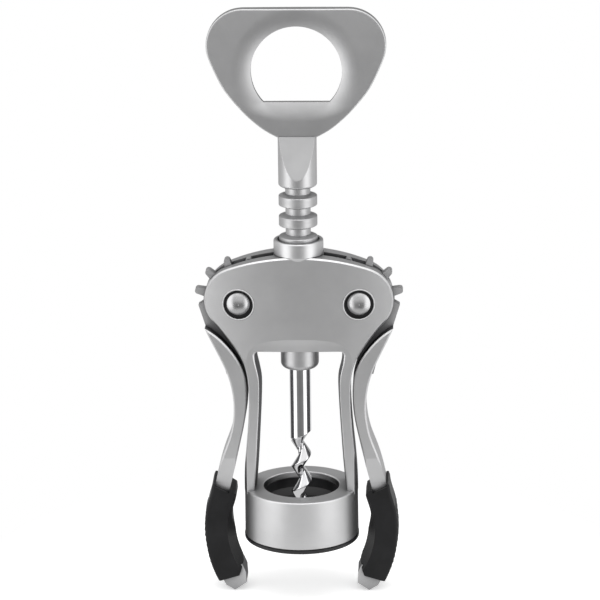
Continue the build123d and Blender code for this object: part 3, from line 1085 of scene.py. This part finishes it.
@dataclass
class OpenerPlate:
    """Soft, crowned plate of the opener, thinner at its rim and rolled into the opening.

    The waist is the outline's run from the lobe in to the neck, and waist_above and
    waist_below are knots beyond its two ends that only steer it.
    """

    top: float = 179.0
    top_steps: int = 8
    lobe_x: float = 16.9
    lobe_z: float = 167.0
    lobe_radius: float = 12.0
    lobe_end: float = -24.0
    lobe_steps: int = 24
    waist_above: Limits = (29.4, 166.6)
    waist: tuple[Limits, ...] = (
        (27.9, 162.1),
        (23.65, 153.2),
        (18.4, 146.5),
        (14.3, 142.4),
        (10.5, 139.4),
        (6.25, 137.0),
    )
    waist_below: Limits = (1.95, 135.1)
    waist_steps: int = 8
    hole_z: float = 158.5
    hole_radius: float = 14.65
    lip_z: float = 148.5
    half_thickness: float = 2.6
    rim_drop: float = 0.4
    rim_width: float = 0.45
    roll_drop: float = 1.45
    roll_width: float = 6.5
    crown_radius: float = 520.0
    stations: int = 300
    rings: int = 44
    parallel: float = 1e-9
    overlap: float = 1e-6
    sharp_angle: float = 50.0

    def outline(self) -> list[Vector]:
        """Right half of the plate's outline in millimetres, from the top down."""
        half = [
            Vector((self.lobe_x * k / self.top_steps, self.top)) for k in range(self.top_steps)
        ]
        for k in range(self.lobe_steps + 1):
            turn = math.radians(90 + (self.lobe_end - 90) * k / self.lobe_steps)
            x = self.lobe_x + self.lobe_radius * math.cos(turn)
            half.append(Vector((x, self.lobe_z + self.lobe_radius * math.sin(turn))))
        knots = [Vector(point) for point in (self.waist_above, *self.waist, self.waist_below)]
        return half + smooth_run(knots, self.waist_steps)

    def from_rim(self, point: Vector, rim: list[Vector]) -> float:
        """Distance from a point to the outline.

        Args:
            point: the point.
            rim: the whole outline.

        Returns:
            The distance in millimetres.
        """
        best = math.inf
        for start, end in zip(rim, rim[1:]):
            span = end - start
            along = max(0.0, min(1.0, (point - start).dot(span) / span.length_squared))
            best = min(best, (start + span * along - point).length)
        return best

    def from_hole(self, point: Vector) -> float:
        """Distance from a point to the opening's edge.

        Args:
            point: the point.

        Returns:
            The distance in millimetres.
        """
        past_circle = (point - Vector((0, self.hole_z))).length - self.hole_radius
        past_lip = self.lip_z - point.y
        if past_circle > 0 and past_lip > 0:
            return math.hypot(past_circle, past_lip)
        return max(past_circle, past_lip, 0.0)

    def reach(self, towards: Vector, rim: list[Vector]) -> float:
        """How far the outline is from the opening's centre.

        Args:
            towards: unit direction from the centre.
            rim: the whole outline.

        Returns:
            The distance in millimetres.
        """
        centre = Vector((0, self.hole_z))
        best = 0.0
        for start, end in zip(rim, rim[1:]):
            span = end - start
            across = towards.x * span.y - towards.y * span.x
            if abs(across) < self.parallel:
                continue
            offset = start - centre
            along = (offset.x * span.y - offset.y * span.x) / across
            share = (offset.x * towards.y - offset.y * towards.x) / across
            if along > 0 and -self.overlap <= share <= 1 + self.overlap:
                best = max(best, along)
        return best

    def half_depth(self, point: Vector, rim: list[Vector]) -> float:
        """Half of the plate's thickness at a point.

        Args:
            point: the point.
            rim: the whole outline.

        Returns:
            The half thickness in millimetres.
        """
        crown = (point.x**2 + (point.y - self.hole_z) ** 2) / (2 * self.crown_radius)
        edge = 1 - min(1.0, self.from_rim(point, rim) / self.rim_width)
        inside = 1 - min(1.0, self.from_hole(point) / self.roll_width)
        rounding = self.rim_drop * (1 - math.sqrt(1 - edge**2))
        return self.half_thickness - crown - rounding - self.roll_drop * inside**2

    def spokes(self) -> list[list[tuple[Vector, float]]]:
        """Places between the rim and the opening, closer together at both.

        Returns:
            For each station round the opening, its places from the rim inwards, each with
            half of the plate's thickness there.
        """
        right = self.outline()
        rim = right + [Vector((-point.x, point.y)) for point in reversed(right)]
        centre = Vector((0, self.hole_z))
        spokes = []
        for k in range(self.stations):
            turn = 2 * math.pi * k / self.stations
            towards = Vector((math.sin(turn), math.cos(turn)))
            outer = self.reach(towards, rim)
            inner = self.hole_radius
            if towards.y < 0:
                inner = min(inner, (self.hole_z - self.lip_z) / -towards.y)
            spoke = []
            for ring in range(self.rings):
                share = 0.5 - 0.5 * math.cos(math.pi * ring / (self.rings - 1))
                place = centre + towards * (outer + (inner - outer) * share)
                spoke.append((place, self.half_depth(place, rim)))
            spokes.append(spoke)
        return spokes

    def build(self) -> Piece:
        """Make the plate's front and rear, joined along its rim and round the opening."""
        spokes = self.spokes()
        points = [
            (place.x * MM, face * depth * MM, place.y * MM)
            for face in (-1, 1)
            for spoke in spokes
            for place, depth in spoke
        ]
        count = self.stations * self.rings
        starts = [k * self.rings for k in range(self.stations)]
        pairs = list(zip(starts, starts[1:] + starts[:1]))
        faces = [
            (face + a + ring, face + b + ring, face + b + ring + 1, face + a + ring + 1)
            for face in (0, count)
            for a, b in pairs
            for ring in range(self.rings - 1)
        ]
        faces += [
            (a + ring, b + ring, b + ring + count, a + ring + count)
            for a, b in pairs
            for ring in (0, self.rings - 1)
        ]
        return mesh_piece("opener_plate", points, faces, self.sharp_angle)


@dataclass
class Worm:
    """Right-handed blade, the oblique end of the shaft that it grows from, and the shank.

    The shaft's slanted end is end_left high at end_reach beyond the shaft's left side, and
    end_right high as far beyond its right side.
    """

    tip: float = 9.3
    taper_top: float = 16.0
    blade_top: float = 38.0
    pitch: float = 9.0
    bulge: float = 28.8
    edge_radius: float = 3.5
    core_radius: float = 1.0
    core_angle: float = 140.0
    point_radius: float = 0.35
    edge_softness: float = 0.05
    blade_step: float = 0.15
    blade_corners: int = 72
    blade_sharp_angle: float = 60.0
    shaft_radius: float = 3.6
    end_left: float = 33.9
    end_right: float = 37.5
    end_reach: float = 1.0
    end_break: float = 0.08
    cut: float = 60.5
    shaft_steps: int = 24
    shaft_corners: int = 128
    shaft_sharp_angle: float = 30.0
    shank_sharp_angle: float = 28.0

    def radius(self, turn: float, height: float) -> float:
        """Radius of the blade's section.

        Args:
            turn: degrees from the section's edge, -180 to 180.
            height: z in millimetres.

        Returns:
            The radius in millimetres.
        """
        share = math.hypot(turn / self.core_angle, self.edge_softness)
        blade = self.core_radius + (self.edge_radius - self.core_radius) * max(0.0, 1 - share)
        taper = self.point_radius + (self.shaft_radius - self.point_radius) * (
            height - self.tip
        ) / (self.taper_top - self.tip)
        return min(blade, taper)

    def build_blade(self) -> Piece:
        """Make the blade as a stack of turned sections."""
        rows = int((self.blade_top - self.tip) / self.blade_step) + 1
        points = []
        for row in range(rows):
            height = self.tip + row * self.blade_step
            lead = 360 * (height - self.bulge) / self.pitch
            for k in range(self.blade_corners):
                turn = -180 + 360 * k / self.blade_corners
                radius = self.radius(turn, height)
                angle = math.radians(turn + lead)
                x, y = radius * math.cos(angle), radius * math.sin(angle)
                points.append((x * MM, y * MM, height * MM))
        faces = tube_faces(rows, self.blade_corners)
        faces.append(tuple(range(self.blade_corners)))
        return mesh_piece("worm_blade", points, faces, self.blade_sharp_angle)

    def build_shaft(self) -> Piece:
        """Make the shaft below the guide cup, cut off at a slant with a broken edge."""
        slope = (self.end_right - self.end_left) / (2 * (self.shaft_radius + self.end_reach))
        middle = (self.end_right + self.end_left) / 2
        shares = [0.0, *(k / self.shaft_steps for k in range(self.shaft_steps + 1))]
        points = []
        for row, share in enumerate(shares):
            radius = self.shaft_radius - (self.end_break if row == 0 else 0.0)
            for k in range(self.shaft_corners):
                turn = 2 * math.pi * k / self.shaft_corners
                x, y = radius * math.cos(turn), radius * math.sin(turn)
                low = middle + slope * x + (self.end_break if row == 1 else 0.0)
                points.append((x * MM, y * MM, (low + (self.cut - low) * share) * MM))
        faces = tube_faces(len(shares), self.shaft_corners)
        faces.append(tuple(range(self.shaft_corners)))
        return mesh_piece("worm_shaft", points, faces, self.shaft_sharp_angle)

    def build_shank(self) -> Piece:
        """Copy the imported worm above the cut, where the cup, rack and neck hide it."""
        return copy_above("worm", "worm_shank", self.cut * MM, self.shank_sharp_angle)


@dataclass
class OpenerNeck:
    """Round neck with two flats that run up to the plate."""

    radius: float = 6.28
    bore_radius: float = 2.4
    foot_radius: float = 4.4
    foot: float = 120.39
    foot_rise: float = 0.001
    shoulder: float = 121.49
    shoulder_steps: int = 5
    top: float = 137.7
    flat_start: float = 123.6
    flat_top: float = 137.2
    flat_half: float = 2.3
    step: float = 0.25
    corners: int = 192
    sharp_angle: float = 9.0

    def build(self) -> Piece:
        """Make the neck as a stack of rings, pressed in where the flats are."""
        rise = self.shoulder - self.foot
        heights = [self.foot, self.foot + self.foot_rise]
        for k in range(1, self.shoulder_steps + 1):
            heights.append(self.foot + rise * k / self.shoulder_steps)
        while heights[-1] + self.step < self.top:
            heights.append(heights[-1] + self.step)
        points = []
        for row, height in enumerate(heights):
            share = max(0.0, min(1.0, (height - self.foot) / rise))
            swell = math.sqrt(1 - (1 - share) ** 2)
            radius = self.foot_radius + (self.radius - self.foot_radius) * swell
            if row == 0:
                radius = self.bore_radius
            up = (height - self.flat_start) / (self.flat_top - self.flat_start)
            flat = self.radius + (self.flat_half - self.radius) * max(0.0, min(1.0, up))
            for k in range(self.corners):
                turn = 2 * math.pi * k / self.corners
                x, y = radius * math.cos(turn), radius * math.sin(turn)
                points.append((x * MM, max(-flat, min(flat, y)) * MM, height * MM))
        faces = tube_faces(len(heights), self.corners)
        return mesh_piece("opener_neck", points, faces, self.sharp_angle)


@dataclass
class Spindle:
    """Opener handle, rack, worm and what turns with them."""

    dresser: Dresser

    def build(self) -> None:
        """Replace the handle and the worm by finer pieces and dress the rest."""
        add = self.dresser.add
        for piece in (OpenerPlate().build(), OpenerNeck().build()):
            add(piece, Slot.SATIN_METAL, "spindle", "opener_handle", finish=self.dresser.opener)
        worm = Worm()
        for piece in (worm.build_shank(), worm.build_blade(), worm.build_shaft()):
            add(piece, Slot.POLISHED_METAL, "spindle", "worm")
        for node in ("rack_shaft", "worm_pin"):
            self.dresser.dress(node, Slot.TURNED_METAL)
        for node in ("upper_thrust_washer", "lower_thrust_washer"):
            self.dresser.dress(node, Slot.BLACK_PLASTIC)


@dataclass
class Guide:
    """The cup that slides in the frame."""

    dresser: Dresser

    def build(self) -> None:
        """Dress the cup."""
        self.dresser.dress("guide_cup", Slot.TURNED_METAL)


def main() -> None:
    """Build the studio and the tool, one sub-assembly after the other."""
    logging.basicConfig(level=logging.INFO)
    Studio().build()
    dresser = Dresser()
    FrameCasting(dresser).build()
    for side in Side:
        Wing(dresser, side).build()
    Spindle(dresser).build()
    Guide(dresser).build()


if __name__ == "__main__":
    main()
